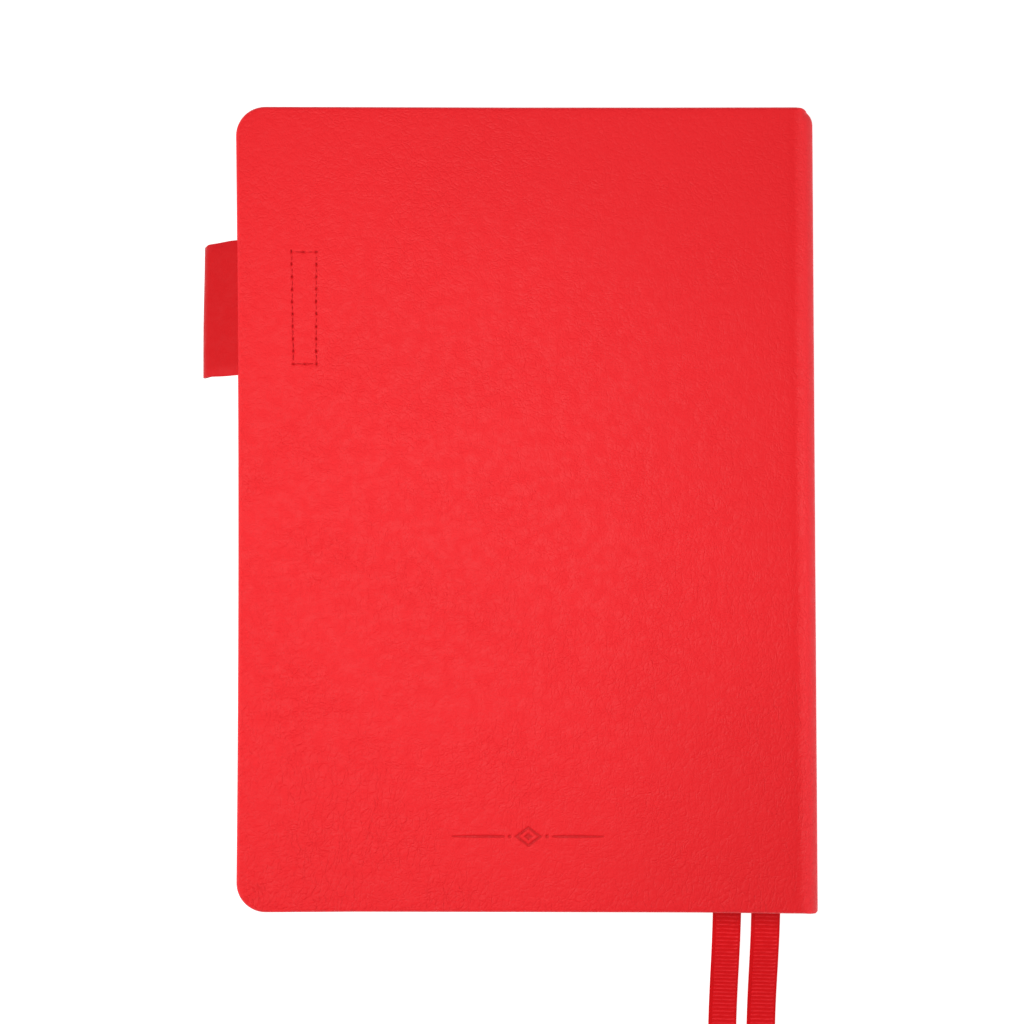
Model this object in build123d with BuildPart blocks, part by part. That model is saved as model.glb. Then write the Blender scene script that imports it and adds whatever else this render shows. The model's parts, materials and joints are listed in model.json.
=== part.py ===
from build123d import *
import math
import os

# A soft-cover A5 planner, closed and lying on its front cover.
# +X points to the spine, +Y to the head, +Z up; the origin is under the middle of the book,
# the pen loop included.  Millimetres.

# ---- driving dimensions -------------------------------------------------------------------
PAGE_WIDTH = 145.0            # fold to fore-edge
PAGE_HEIGHT = 205.0           # head to tail
PAGE_CORNER = 6.0
SECTION_COUNT = 22            # sewn gatherings of 8 leaves, 352 pages
SECTION_THICK = 0.8
LEAF_THICK = 0.1
LOOSE_LEAVES = 4              # leaves that stand free where the book falls open

COVER_WIDTH = 152.0           # fore-edge to the outer face of the spine
COVER_HEIGHT = 212.0
FORE_CORNER = 7.8
HEAD_CORNER = 4.0             # soft headcap corner of the spine
TAIL_CORNER = 0.6
EDGE_ROUND = 0.9
SKIN = 0.7                    # leatherette
BOARD = 1.0
TURN_IN = 0.5                 # skived leatherette folded over the board
PASTEDOWN = 0.2
TURN_IN_WIDTH = 15.0
PASTEDOWN_INSET = 2.5

FLYLEAF = 0.1
FLYLEAF_ROOM = 0.2            # flyleaf and its clearance, between the block and each cover
MIDDLE_ROOM = 1.0             # ribbons and loose leaves, between the two halves of the block
SPLIT_GAP = 0.1               # between the two halves of the spine

CORNER = 2.9                  # outer radius of the spine's two rounded edges
HINGE_CUT = 4.4               # the covers begin this far from their hinge axis
LINER = 0.5
MULL = 0.2
THREAD = 0.3
SPINE_CLEAR = 0.05

LOOP_REACH = 9.5              # the pen loop stands this far out of the fore-edge
LOOP_LENGTH = 35.2
LOOP_Y = 52.9
LOOP_WALL = 0.5
LOOP_NECK = 0.5               # radius of the loop's doubled neck, where it bends
LOOP_GAP = 0.3
LOOP_RADIUS = 3.6             # outside of the drooping round
LOOP_DROP = 4.7               # from the neck down to the middle of the round
SLOT_TIP = (0.7, 0.2)         # the slot's narrow end: distance from the neck, radius
TAB_REACH = 24.0              # sewn tab inside the cover
STITCH_BOX = (6.3, 29.5)      # sewn rectangle, across and along the cover
STITCH_BOX_X = 17.7           # its middle, from the fore-edge
STITCH_PITCH = 3.27
STITCH = (2.3, 0.55, 0.5)     # length, width, depth
STITCH_RECESS = 0.12

RIBBON_WIDTH = 7.5
RIBBON_THICK = 0.3
RIBBON_HEAD_Y = 98.0
RIBBON_ENDS = ((66.8, 58.3), (74.4, 68.5))      # x at the head and x at the tail of the block
TAIL_LEAN = math.radians(1.0)                   # the tails lean towards the fore-edge
TAIL_GAP = 0.15
# Route of a tail from the block: distance along the ribbon, height of its middle.
TAIL_ROUTE = (
    (0.0, 11.55), (8.0, 11.0), (17.0, 8.0), (26.0, 3.9), (35.0, 1.1),
    (46.0, 0.35), (60.0, 0.22), (74.0, 0.3), (83.0, 0.25),
)

# ---- places worked out from them ----------------------------------------------------------
COVER = SKIN + BOARD + TURN_IN + PASTEDOWN
HALF_COUNT = SECTION_COUNT // 2
HALF_BLOCK = HALF_COUNT * SECTION_THICK
BLOCK_LOW = COVER + FLYLEAF_ROOM
MIDDLE_LOW = BLOCK_LOW + HALF_BLOCK
MIDDLE_HIGH = MIDDLE_LOW + MIDDLE_ROOM
BLOCK_HIGH = MIDDLE_HIGH + HALF_BLOCK
THICK = BLOCK_HIGH + FLYLEAF_ROOM + COVER
MIDDLE = THICK / 2

SPINE_X = (COVER_WIDTH + LOOP_REACH) / 2
FORE_X = SPINE_X - COVER_WIDTH
HINGE_X = SPINE_X - CORNER
LINER_X = SPINE_X - SKIN - LINER
MULL_X = LINER_X - MULL
THREAD_X = MULL_X - SPINE_CLEAR - THREAD / 2
FOLD_X = THREAD_X - THREAD / 2 - SPINE_CLEAR
PAGE_FORE_X = FOLD_X - PAGE_WIDTH
COVER_MIDDLE_X = (SPINE_X + FORE_X) / 2

# Each half is given by the height of its outer face and the way inwards from it.
HALVES = {"front": (0.0, 1), "back": (THICK, -1)}


def save(part, name):
    """Labels a finished piece and writes it."""
    part.label = name
    export_step(part, "parts/" + name + ".step")


def draw_cover(inset=0.0):
    """Draws the outline of the closed book in the open sketch, drawn in by inset."""
    with Locations((COVER_MIDDLE_X, 0)):
        Rectangle(COVER_WIDTH - 2 * inset, COVER_HEIGHT - 2 * inset)
    fillet(vertices().group_by(Axis.X)[0], FORE_CORNER - inset)
    spine_corners = vertices().group_by(Axis.X)[-1].sort_by(Axis.Y)
    fillet(spine_corners[-1], max(HEAD_CORNER - inset, TAIL_CORNER))


def draw_page(spine_x=FOLD_X, corner=PAGE_CORNER):
    """Draws a leaf in the open sketch, from spine_x to the fore-edge."""
    width = spine_x - PAGE_FORE_X
    with Locations((PAGE_FORE_X + width / 2, 0)):
        Rectangle(width, PAGE_HEIGHT)
    fillet(vertices().group_by(Axis.X)[0], corner)


def draw_hinge_cut(outer, inward):
    """Draws what a cover leaves free round its hinge, in the open XZ sketch."""
    axis_z = outer + inward * CORNER
    with Locations((HINGE_X, axis_z)):
        Circle(HINGE_CUT)
    with Locations((HINGE_X + CORNER, outer + inward * COVER / 2)):
        Rectangle(2 * CORNER, 4 * COVER)


def cover_layer(outer, inward, depth, thick, inset):
    """A flat layer of a cover: depth below the outer face, cut away at the hinge."""
    with BuildPart() as layer:
        with BuildSketch(Plane.XY.offset(outer + inward * depth)):
            draw_cover(inset)
        extrude(amount=inward * thick)
        with BuildSketch(Plane.XZ):
            draw_hinge_cut(outer, inward)
        extrude(amount=COVER_HEIGHT, both=True, mode=Mode.SUBTRACT)
    return layer.part


def upright(half, y_reach, x_low, x_high):
    """A flat strip of the spine, standing from the spine's rounded edge to its mid-line."""
    outer, inward = HALVES[half]
    reach = MIDDLE - CORNER - SPLIT_GAP / 2
    with BuildPart() as strip:
        with BuildSketch(Plane.XY.offset(outer + inward * CORNER)):
            with Locations(((x_low + x_high) / 2, 0)):
                Rectangle(x_high - x_low, 2 * y_reach)
        extrude(amount=inward * reach)
    return strip.part


os.makedirs("parts", exist_ok=True)

# ---- text block: sewn sections ------------------------------------------------------------
for number in range(SECTION_COUNT):
    low = BLOCK_LOW + number * SECTION_THICK
    if number >= HALF_COUNT:
        low += MIDDLE_ROOM
    with BuildPart() as section:
        with BuildSketch(Plane.XY.offset(low)):
            draw_page()
        extrude(amount=SECTION_THICK)
        fold_edges = section.faces().sort_by(Axis.X)[-1].edges().filter_by(Axis.Y)
        fillet(fold_edges, 0.48 * SECTION_THICK)
    save(section.part, f"section_{number + 1:02d}")

# ---- loose leaves where the book falls open ------------------------------------------------
leaf_room = MIDDLE_ROOM - RIBBON_THICK - LOOSE_LEAVES * LEAF_THICK
leaf_gap = leaf_room / (LOOSE_LEAVES + 1)
for number in range(LOOSE_LEAVES):
    leaf_low = MIDDLE_LOW + RIBBON_THICK + leaf_gap + number * (LEAF_THICK + leaf_gap)
    with BuildPart() as centre_leaf:
        with BuildSketch(Plane.XY.offset(leaf_low)):
            draw_page()
        extrude(amount=LEAF_THICK)
    save(centre_leaf.part, f"centre_leaf_{number + 1}")

# ---- flyleaves: each begins beside the hinge line of its cover ---------------------------
flyleaf_x = HINGE_X - 1.0
for half, (outer, inward) in HALVES.items():
    with BuildPart() as flyleaf:
        with BuildSketch(Plane.XY.offset(outer + inward * (COVER + SPLIT_GAP / 2))):
            draw_page(flyleaf_x)
        extrude(amount=inward * FLYLEAF)
    save(flyleaf.part, half + "_flyleaf")

# ---- ribbons inside the block ------------------------------------------------------------
block_tail_y = -PAGE_HEIGHT / 2
for number, (head_x, tail_x) in enumerate(RIBBON_ENDS):
    half_width = RIBBON_WIDTH / 2
    with BuildPart() as ribbon_inner:
        with BuildSketch(Plane.XY.offset(MIDDLE_LOW)):
            with BuildLine():
                Polyline(
                    (head_x - half_width, RIBBON_HEAD_Y),
                    (head_x + half_width, RIBBON_HEAD_Y),
                    (tail_x + half_width, block_tail_y),
                    (tail_x - half_width, block_tail_y),
                    close=True,
                )
            make_face()
        extrude(amount=RIBBON_THICK)
    save(ribbon_inner.part, f"ribbon_{number + 1}_inner")

# ---- ribbon tails: out of the block, down to the table, and flat along it ------------------
tail_out = Vector(-math.sin(TAIL_LEAN), -math.cos(TAIL_LEAN), 0)
turn_fit = 0.45
for number, (head_x, tail_x) in enumerate(RIBBON_ENDS):
    start = Vector(tail_x, block_tail_y - TAIL_GAP, 0)
    route = [start + tail_out * along + Vector(0, 0, height) for along, height in TAIL_ROUTE]
    radii = []
    for before, corner, after in zip(route, route[1:], route[2:]):
        turn = math.radians((corner - before).get_angle(after - corner))
        shorter = min((corner - before).length, (after - corner).length)
        radii.append(turn_fit * shorter / math.tan(turn / 2))
    print("ribbon tail radii", [round(radius) for radius in radii])
    with BuildPart() as ribbon_tail:
        with BuildLine() as tail_line:
            FilletPolyline(*route, radius=radii)
        first_run = (route[1] - route[0]).normalized()
        across = first_run.cross(Vector(0, 0, 1)).normalized()
        with BuildSketch(Plane(origin=route[0], x_dir=across, z_dir=first_run)):
            Rectangle(RIBBON_WIDTH, RIBBON_THICK)
        sweep()
    tail_length = tail_line.wires()[0].length
    straight_volume = RIBBON_WIDTH * RIBBON_THICK * tail_length
    print("ribbon tail length", round(tail_length, 2),
          "volume against a straight one", round(ribbon_tail.part.volume / straight_volume, 4))
    save(ribbon_tail.part, f"ribbon_{number + 1}_tail")

# ---- pen loop: sewn tab, stitches and teardrop tube ----------------------------------------
tab_low = THICK - SKIN - BOARD
stitch_x = FORE_X + STITCH_BOX_X
with BuildPart() as pen_loop_tab:
    with BuildSketch(Plane.XY.offset(tab_low)):
        with Locations((FORE_X + TAB_REACH / 2, LOOP_Y)):
            Rectangle(TAB_REACH, LOOP_LENGTH)
    extrude(amount=BOARD)
save(pen_loop_tab.part, "pen_loop_tab")

with BuildPart() as pen_loop_thread:
    with BuildSketch(Plane.XY.offset(THICK - STITCH_RECESS)):
        with Locations((stitch_x, LOOP_Y)):
            with GridLocations(STITCH_BOX[0], STITCH_PITCH, 2, 9):
                SlotOverall(STITCH[0], STITCH[1], rotation=90)
            with GridLocations(STITCH_PITCH, STITCH_BOX[1], 2, 2):
                SlotOverall(STITCH[0], STITCH[1])
    extrude(amount=-STITCH[2])
save(pen_loop_thread.part, "pen_loop_thread")

neck_x = FORE_X - LOOP_GAP - LOOP_NECK - 0.1
neck_z = tab_low + BOARD / 2
loop_x = FORE_X - LOOP_REACH + LOOP_RADIUS
loop_z = neck_z - LOOP_DROP
to_round = Vector(loop_x - neck_x, loop_z - neck_z).normalized()
slot_tip = Vector(neck_x, neck_z) + to_round * SLOT_TIP[0]
with BuildPart() as pen_loop:
    with BuildSketch(Plane.XZ.offset(-LOOP_Y)):
        with Locations((neck_x, neck_z)):
            Circle(LOOP_NECK)
        with Locations((loop_x, loop_z)):
            Circle(LOOP_RADIUS)
        make_hull()
    extrude(amount=LOOP_LENGTH / 2, both=True)
    with BuildSketch(Plane.XZ.offset(-LOOP_Y)):
        with Locations((slot_tip.X, slot_tip.Y)):
            Circle(SLOT_TIP[1])
        with Locations((loop_x, loop_z)):
            Circle(LOOP_RADIUS - LOOP_WALL)
        make_hull()
    extrude(amount=LOOP_LENGTH, both=True, mode=Mode.SUBTRACT)
save(pen_loop.part, "pen_loop")

# ---- covers: leatherette skin turned in over a board, lining and pastedown ------------------
for half, (outer, inward) in HALVES.items():
    with BuildPart() as cover_board:
        add(cover_layer(outer, inward, SKIN, BOARD, SKIN))
        if half == "back":
            add(pen_loop_tab.part, mode=Mode.SUBTRACT)
    save(cover_board.part, half + "_cover_board")

    with BuildPart() as cover_infill:
        add(cover_layer(outer, inward, SKIN + BOARD, TURN_IN, SKIN))
        with BuildSketch(Plane.XY):
            with Locations((COVER_MIDDLE_X + TURN_IN_WIDTH, 0)):
                Rectangle(COVER_WIDTH, COVER_HEIGHT - 2 * TURN_IN_WIDTH)
        extrude(amount=THICK, mode=Mode.INTERSECT)
    save(cover_infill.part, half + "_cover_infill")

    with BuildPart() as pastedown:
        add(cover_layer(outer, inward, COVER - PASTEDOWN, PASTEDOWN, PASTEDOWN_INSET))
    save(pastedown.part, half + "_pastedown")

    with BuildPart() as cover_skin:
        with BuildSketch(Plane.XY.offset(outer)):
            draw_cover()
        extrude(amount=inward * (COVER - PASTEDOWN))
        outer_rim = cover_skin.faces().sort_by(Axis.Z)[0 if inward > 0 else -1].edges()
        fillet(outer_rim, EDGE_ROUND)
        inner_rim = cover_skin.faces().sort_by(Axis.Z)[-1 if inward > 0 else 0].edges()
        fillet(inner_rim, EDGE_ROUND / 2)
        with BuildSketch(Plane.XZ):
            draw_hinge_cut(outer, inward)
        extrude(amount=COVER_HEIGHT, both=True, mode=Mode.SUBTRACT)
        add(cover_board.part, mode=Mode.SUBTRACT)
        add(cover_infill.part, mode=Mode.SUBTRACT)
        if half == "back":
            add(pen_loop_tab.part, mode=Mode.SUBTRACT)
            stitch_floors = pen_loop_thread.faces().group_by(Axis.Z)[0]
            extrude(stitch_floors, amount=STITCH[2] + STITCH_RECESS, dir=(0, 0, 1), mode=Mode.SUBTRACT)
    save(cover_skin.part, half + "_cover_skin")

# ---- spine: skin, liner, mull and sewing, in two halves that part at the mid-line -------------
sewing_stations = [-94, -62, -46, -16, 16, 46, 62, 94]
for half, (outer, inward) in HALVES.items():
    split = MIDDLE - inward * SPLIT_GAP / 2
    with BuildPart() as spine_skin:
        with BuildSketch(Plane.XZ):
            with BuildLine():
                Polyline(
                    (HINGE_X - CORNER, outer),
                    (SPINE_X, outer),
                    (SPINE_X, split),
                    (SPINE_X - SKIN, split),
                    (SPINE_X - SKIN, outer + inward * SKIN),
                    (HINGE_X - CORNER, outer + inward * SKIN),
                    close=True,
                )
            make_face()
            outer_corner = vertices().sort_by_distance((SPINE_X, outer))[0]
            fillet(outer_corner, CORNER)
            inner_corner = vertices().sort_by_distance((SPINE_X - SKIN, outer + inward * SKIN))[0]
            fillet(inner_corner, CORNER - SKIN)
        extrude(amount=COVER_HEIGHT / 2, both=True)
        with BuildSketch(Plane.XY):
            draw_cover()
        extrude(amount=THICK, mode=Mode.INTERSECT)
    save(spine_skin.part, "spine_skin_" + half)

    save(upright(half, PAGE_HEIGHT / 2 + 2, LINER_X, SPINE_X - SKIN), "spine_liner_" + half)
    save(upright(half, PAGE_HEIGHT / 2 - 6, MULL_X, LINER_X), "mull_" + half)

    with BuildPart() as sewing_thread:
        with BuildSketch(Plane.XY.offset(outer + inward * CORNER)):
            with Locations(*[(THREAD_X, station) for station in sewing_stations]):
                Circle(THREAD / 2)
        extrude(amount=inward * (MIDDLE - CORNER - SPLIT_GAP))
    save(sewing_thread.part, "sewing_thread_" + half)

# ---- head and tail bands -------------------------------------------------------------------
BAND = (3.0, 1.6)
band_x = MULL_X - BAND[0] / 2
band_y = PAGE_HEIGHT / 2 + BAND[1] / 2
for half, (outer, inward) in HALVES.items():
    for end, side in (("head", 1), ("tail", -1)):
        with BuildPart() as band:
            with BuildSketch(Plane.XY.offset(outer + inward * BLOCK_LOW)):
                with Locations((band_x, side * band_y)):
                    RectangleRounded(BAND[0], BAND[1], 0.45 * BAND[1])
            extrude(amount=inward * (MIDDLE - BLOCK_LOW - SPLIT_GAP / 2))
        save(band.part, end + "band_" + half)

print("thickness", round(THICK, 2), "spine", round(SPINE_X, 2), "fore-edge", round(FORE_X, 2))
print("cover hinge x", round(HINGE_X, 2), "fold", round(FOLD_X, 2), "pages from", round(PAGE_FORE_X, 2))
print("loop neck", round(neck_x, 2), round(neck_z, 2), "round", round(loop_x, 2), round(loop_z, 2))
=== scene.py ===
"""A soft-cover A5 planner, closed, back cover up: the looks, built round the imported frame.

Lengths are in millimetres until a mesh is made. +X is the spine, +Y the head, +Z up.
"""

import json
import math
import random

import bpy
import numpy as np
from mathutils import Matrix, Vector


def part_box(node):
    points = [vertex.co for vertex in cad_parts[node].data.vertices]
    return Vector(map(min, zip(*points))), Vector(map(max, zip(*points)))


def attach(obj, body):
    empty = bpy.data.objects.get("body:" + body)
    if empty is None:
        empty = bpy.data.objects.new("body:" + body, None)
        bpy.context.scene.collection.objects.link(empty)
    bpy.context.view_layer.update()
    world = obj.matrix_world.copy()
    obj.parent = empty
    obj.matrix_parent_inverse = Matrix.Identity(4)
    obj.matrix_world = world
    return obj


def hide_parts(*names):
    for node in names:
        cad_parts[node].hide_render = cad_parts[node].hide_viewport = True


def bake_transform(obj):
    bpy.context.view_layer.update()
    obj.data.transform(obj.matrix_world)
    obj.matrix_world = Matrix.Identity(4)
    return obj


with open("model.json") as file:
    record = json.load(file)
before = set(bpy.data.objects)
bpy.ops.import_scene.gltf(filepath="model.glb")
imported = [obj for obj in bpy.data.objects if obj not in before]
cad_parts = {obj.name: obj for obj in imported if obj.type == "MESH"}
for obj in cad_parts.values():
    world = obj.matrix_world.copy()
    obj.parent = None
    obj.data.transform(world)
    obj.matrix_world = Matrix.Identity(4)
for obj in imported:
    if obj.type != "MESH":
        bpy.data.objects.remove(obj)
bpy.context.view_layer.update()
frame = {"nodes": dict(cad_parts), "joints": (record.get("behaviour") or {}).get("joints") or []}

MM = 0.001
TAU = 2 * math.pi


def box_mm(node):
    """Lowest and highest corner of a CAD node, in millimetres."""
    low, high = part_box(node)
    return np.array(low) / MM, np.array(high) / MM


def joint_mm(name):
    """Where a joint's axis stands, in millimetres."""
    found = next(joint for joint in frame["joints"] if joint["name"] == name)
    return np.array(found["pos_m"]) / MM


# ---- places from the frame ----
SKIN_LOW, SKIN_HIGH = box_mm("back_cover_skin")
FORE_X = SKIN_LOW[0]
SPINE_X = box_mm("spine_skin_back")[1][0]
TOP = SKIN_HIGH[2]
HALF_HEIGHT = SKIN_HIGH[1]
HINGE_X, _, HINGE_Z = joint_mm("back_cover_open")
MIDDLE = joint_mm("middle_open")[2]
PAGE_LOW, PAGE_HIGH = box_mm("section_01")
PAGES_TOP = box_mm("section_22")[1][2]
MIDDLE_LOW = box_mm("section_11")[1][2]
MIDDLE_HIGH = box_mm("section_12")[0][2]

CORNER = TOP - HINGE_Z                 # the spine's rounded edges
COVER_DEPTH = TOP - SKIN_LOW[2]        # leather, board and turn-in
SPINE_DEPTH = 1.25                     # leather and turn-in at the ends of the spine
FORE_CORNER = 7.8
PAGE_CORNER = 6.0
PASTEDOWN_CORNER = FORE_CORNER - 2.5
HEAD_CORNER = (4.9, 4.6)               # soft headcap corner of the spine, across and along
TAIL_CORNER = (0.7, 0.7)
EDGE_ROUND = 1.0

# ---- camera and floor ----
CAMERA_PLACE = (1.0, -18.6, 680.0)
CAMERA_TILT = math.radians(1.53)
CAMERA_ROLL = math.radians(-0.105)
CAMERA_LENS = 87.75


def add_camera():
    data = bpy.data.cameras.new("camera")
    data.lens = CAMERA_LENS
    data.sensor_width = 36.0
    data.clip_start = 0.05
    data.clip_end = 20.0
    camera = bpy.data.objects.new("camera", data)
    camera.location = [value * MM for value in CAMERA_PLACE]
    camera.rotation_euler = (CAMERA_TILT, 0.0, CAMERA_ROLL)
    bpy.context.scene.collection.objects.link(camera)
    bpy.context.scene.camera = camera


add_camera()

# ---- mesh helpers ----


def add_mesh(name, points, faces, uvs, materials, face_material=None, sharp=None, marks=None):
    """A smooth mesh from points in millimetres, with one texture point (mm) for each vertex.

    marks are extra values for each vertex, by name. Edges that bend more than sharp degrees
    stay sharp.
    """
    mesh = bpy.data.meshes.new(name)
    mesh.from_pydata((np.asarray(points, float) * MM).tolist(), [], faces)
    corner_vertex = np.zeros(len(mesh.loops), np.int32)
    mesh.loops.foreach_get("vertex_index", corner_vertex)
    layer = mesh.uv_layers.new(name="Sheet")
    layer.data.foreach_set("uv", np.asarray(uvs, np.float32)[corner_vertex].ravel())
    for label, values in (marks or {}).items():
        attribute = mesh.attributes.new(label, "FLOAT", "POINT")
        attribute.data.foreach_set("value", np.asarray(values, np.float32).ravel())
    for material in materials:
        mesh.materials.append(material)
    if face_material is not None:
        mesh.polygons.foreach_set("material_index", np.asarray(face_material, np.int32))
    mesh.polygons.foreach_set("use_smooth", [True] * len(mesh.polygons))
    if sharp is not None:
        mesh.set_sharp_from_angle(angle=math.radians(sharp))
    mesh.validate()
    made = bpy.data.objects.new(name, mesh)
    bpy.context.scene.collection.objects.link(made)
    return made


def grid_faces(rows, columns, first=0, flip=False):
    """Quads of a grid whose vertices run along columns first."""
    faces = []
    for row in range(rows - 1):
        here = first + row * columns
        there = here + columns
        for column in range(columns - 1):
            quad = (here + column, here + column + 1, there + column + 1, there + column)
            faces.append(quad[::-1] if flip else quad)
    return faces


def grid_lines(low, high, step, fine=()):
    """Places from low to high, step apart, and closer in the fine stretches (from, to, step)."""
    places = [low]
    while places[-1] < high - 1e-6:
        here = places[-1]
        stride = step
        for start, end, close in fine:
            if start - 1e-6 <= here < end - 1e-6:
                stride = min(stride, close)
        stops = [start for start, _, _ in fine if here + 1e-6 < start < here + stride]
        places.append(min(stops + [here + stride, high]))
    return np.array(places)


def smooth_step(value, low, high):
    """0 below low and 1 above high, with a soft turn between."""
    share = np.clip((value - low) / (high - low), 0, 1)
    return share * share * (3 - 2 * share)


def round_corner(x, y, corner_x, corner_y, reach_x, reach_y):
    """Bends the square corner at (corner_x, corner_y) into a quarter round of those reaches."""
    side_x = math.copysign(1, corner_x)
    side_y = math.copysign(1, corner_y)
    along = (side_x * (x - corner_x) + reach_x) / reach_x
    up = (side_y * (y - corner_y) + reach_y) / reach_y
    inside = (along > 0) & (up > 0)
    reach = np.maximum(along, up)
    least = np.minimum(along, up)
    turn = np.where(inside, least / np.maximum(reach, 1e-9), 0) * math.pi / 4
    angle = np.where(along >= up, turn, math.pi / 2 - turn)
    new_x = corner_x + side_x * (reach * np.cos(angle) - 1) * reach_x
    new_y = corner_y + side_y * (reach * np.sin(angle) - 1) * reach_y
    return np.where(inside, new_x, x), np.where(inside, new_y, y)


# ---- material helpers ----


class Look:
    """A material under construction: its nodes and its main shader."""

    def __init__(self, name, roughness, specular, **inputs):
        self.material = bpy.data.materials.new(name)
        self.material.use_nodes = True
        self.tree = self.material.node_tree
        self.shader = self.tree.nodes["Principled BSDF"]
        self.shader.inputs["Roughness"].default_value = roughness
        self.shader.inputs["Specular IOR Level"].default_value = specular
        for label, value in inputs.items():
            self.shader.inputs[label.replace("_", " ")].default_value = value

    def put(self, socket, value):
        if isinstance(value, bpy.types.NodeSocket):
            self.tree.links.new(value, socket)
        else:
            socket.default_value = value

    def node(self, kind, inputs=None, **settings):
        made = self.tree.nodes.new("ShaderNode" + kind)
        for label, value in settings.items():
            setattr(made, label, value)
        for label, value in (inputs or {}).items():
            self.put(made.inputs[label], value)
        return made

    def math(self, operation, first, second=0.0, clamp=False):
        made = self.node("Math", {0: first, 1: second}, operation=operation, use_clamp=clamp)
        return made.outputs[0]

    def times(self, first, second, clamp=False):
        return self.math("MULTIPLY", first, second, clamp)

    def plus(self, first, second):
        return self.math("ADD", first, second)

    def sheet(self, scale=(1, 1), turn=0.0, shake=None):
        """Texture coordinates in millimetres times scale, turned, and shaken by a vector."""
        place = self.node("UVMap", uv_map="Sheet").outputs["UV"]
        if shake is not None:
            place = self.node("VectorMath", {0: place, 1: shake}, operation="ADD").outputs[0]
        mapping = self.node("Mapping", {"Vector": place}, vector_type="POINT")
        mapping.inputs["Rotation"].default_value = (0, 0, math.radians(turn))
        mapping.inputs["Scale"].default_value = (scale[0], scale[1], 1)
        return mapping.outputs[0]

    def noise(self, place, scale, detail=2.0):
        inputs = {"Vector": place, "Scale": scale, "Detail": detail}
        return self.node("TexNoise", inputs, noise_dimensions="2D").outputs["Fac"]

    def cells(self, place, scale):
        """How far a point is from the nearest border between cells."""
        made = self.node("TexVoronoi", {"Vector": place, "Scale": scale},
                         voronoi_dimensions="2D", feature="DISTANCE_TO_EDGE")
        return made.outputs[0]

    def ramp(self, value, low, high, out_low=0.0, out_high=1.0, smooth=True):
        inputs = {"Value": value, "From Min": low, "From Max": high,
                  "To Min": out_low, "To Max": out_high}
        kind = "SMOOTHSTEP" if smooth else "LINEAR"
        return self.node("MapRange", inputs, interpolation_type=kind).outputs[0]

    def mix(self, share, first, second):
        made = self.node("Mix", data_type="RGBA")
        colours = [socket for socket in made.inputs if socket.type == "RGBA"]
        self.put(made.inputs["Factor"], share)
        self.put(colours[0], first)
        self.put(colours[1], second)
        return next(socket for socket in made.outputs if socket.type == "RGBA")

    def mark(self, name):
        return self.node("Attribute", attribute_name=name, attribute_type="GEOMETRY").outputs["Fac"]

    def bump(self, height, depth, strength=1.0):
        """Raises the surface by depth millimetres where height is 1."""
        made = self.node("Bump", {"Height": height, "Strength": strength, "Distance": depth * MM})
        self.tree.links.new(made.outputs[0], self.shader.inputs["Normal"])

    def colour(self, value):
        self.put(self.shader.inputs["Base Color"], value)


def rgb(red, green, blue):
    return (red, green, blue, 1.0)


# ---- materials ----


GRAIN_DEPTH = 0.062                    # of the embossed grain, in millimetres
DRIFT = 2.6                            # how far the creases wander
SLANT_FOLDS, UPRIGHT_FOLDS = 0.75, 0.6
PEBBLES, SMALL_PEBBLES = 0.62, 0.2
FINE_GRAIN, SWELL_GRAIN = 0.16, 1.8


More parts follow.
